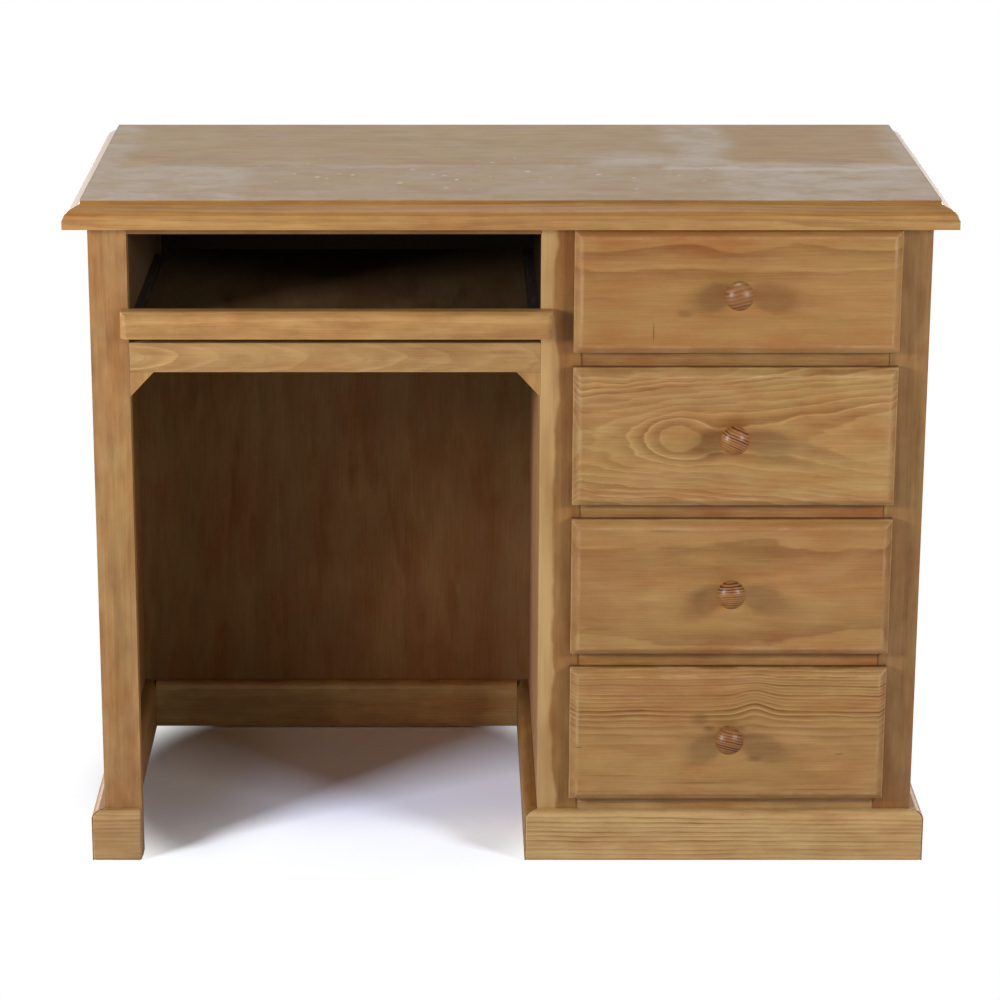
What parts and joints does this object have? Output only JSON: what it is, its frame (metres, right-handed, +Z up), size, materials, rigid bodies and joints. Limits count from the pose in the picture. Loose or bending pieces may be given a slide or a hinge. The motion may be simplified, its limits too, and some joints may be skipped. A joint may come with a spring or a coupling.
{
  "type": "kneehole desk",
  "caption": "Pine kneehole desk: moulded top, drawer pedestal on the right with turned knobs, pull-out keyboard tray over the knee space and skirting round the foot.",
  "frame": {"origin": "on the floor, under the middle of the whole object's box, knobs included", "axes": "+X to the right of someone who sits at it, +Y to the back, +Z up"},
  "size_m": [0.985, 0.5084, 0.78],
  "materials": {
    "pine_top": "waxed, worn dull on the flat",
    "pine_frame": "waxed satin",
    "pine_drawer_front": "waxed satin",
    "pine_drawer_box": "bare planed",
    "plywood": "stained, matt",
    "knob_pine": "turned and waxed",
    "slide_steel": "baked enamel",
    "roller_nylon": "moulded",
    "screw_steel": "zinc plated"
  },
  "bodies": {
    "frame": {"desk_top": "pine_top", "left_side_panel": "pine_frame", "right_side_panel": "pine_frame", "pedestal_inner_panel": "pine_frame", "back_panel": "plywood", "left_stile": "pine_frame", "centre_stile": "pine_frame", "right_stile": "pine_frame", "knee_rail": "pine_frame", "knee_gussets": "pine_frame", "drawer_rail_1": "pine_frame", "drawer_rail_2": "pine_frame", "drawer_rail_3": "pine_frame", "bottom_rail": "pine_frame", "tray_top_rail": "pine_frame", "drawer_top_rail": "pine_frame", "back_top_rail": "pine_frame", "left_front_plinth": "pine_frame", "left_outer_plinth": "pine_frame", "left_inner_plinth": "pine_frame", "back_plinth": "pine_frame", "pedestal_inner_plinth": "pine_frame", "pedestal_front_plinth": "pine_frame", "pedestal_outer_plinth": "pine_frame", "drawer_runners": "pine_frame", "tray_side_panel": "pine_frame", "tray_side_battens": "pine_frame", "slide_channels": "slide_steel", "top_fixing_screws": "screw_steel", "slide_screws": "screw_steel"},
    "tray": {"tray_shelf": "plywood", "tray_lip": "pine_frame", "slide_rails": "slide_steel", "tray_screws": "screw_steel"},
    "front_rollers": {"front_rollers": "roller_nylon"},
    "rear_rollers": {"rear_rollers": "roller_nylon"},
    "drawer_1": {"drawer_1_front": "pine_drawer_front", "drawer_1_left_side": "pine_drawer_box", "drawer_1_right_side": "pine_drawer_box", "drawer_1_back": "pine_drawer_box", "drawer_1_bottom": "plywood", "drawer_1_knob": "knob_pine"},
    "drawer_2": {"drawer_2_front": "pine_drawer_front", "drawer_2_left_side": "pine_drawer_box", "drawer_2_right_side": "pine_drawer_box", "drawer_2_back": "pine_drawer_box", "drawer_2_bottom": "plywood", "drawer_2_knob": "knob_pine"},
    "drawer_3": {"drawer_3_front": "pine_drawer_front", "drawer_3_left_side": "pine_drawer_box", "drawer_3_right_side": "pine_drawer_box", "drawer_3_back": "pine_drawer_box", "drawer_3_bottom": "plywood", "drawer_3_knob": "knob_pine"},
    "drawer_4": {"drawer_4_front": "pine_drawer_front", "drawer_4_left_side": "pine_drawer_box", "drawer_4_right_side": "pine_drawer_box", "drawer_4_back": "pine_drawer_box", "drawer_4_bottom": "plywood", "drawer_4_knob": "knob_pine"}
  },
  "joints": [
    {"name": "drawer_1_slide", "type": "slide", "parent": "frame", "child": "drawer_1", "axis": [0, -1, 0], "range_m": [0, 0.3]},
    {"name": "drawer_2_slide", "type": "slide", "parent": "frame", "child": "drawer_2", "axis": [0, -1, 0], "range_m": [0, 0.3]},
    {"name": "drawer_3_slide", "type": "slide", "parent": "frame", "child": "drawer_3", "axis": [0, -1, 0], "range_m": [0, 0.3]},
    {"name": "drawer_4_slide", "type": "slide", "parent": "frame", "child": "drawer_4", "axis": [0, -1, 0], "range_m": [0, 0.3]},
    {"name": "tray_slide", "type": "slide", "parent": "frame", "child": "tray", "axis": [0, -1, 0], "range_m": [0, 0.25]},
    {"name": "front_roller_spin", "type": "hinge", "parent": "frame", "child": "front_rollers", "pos_m": [-0.195, -0.1888, 0.6304], "axis": [1, 0, 0], "range_deg": [0, 2400]},
    {"name": "rear_roller_spin", "type": "hinge", "parent": "tray", "child": "rear_rollers", "pos_m": [-0.195, 0.1412, 0.6304], "axis": [1, 0, 0], "range_deg": [0, 2400]}
  ],
  "couplings": [
    {"joint": "front_roller_spin", "follows": "tray_slide", "rad_per_m": 166.67},
    {"joint": "rear_roller_spin", "follows": "tray_slide", "rad_per_m": 166.67}
  ]
}
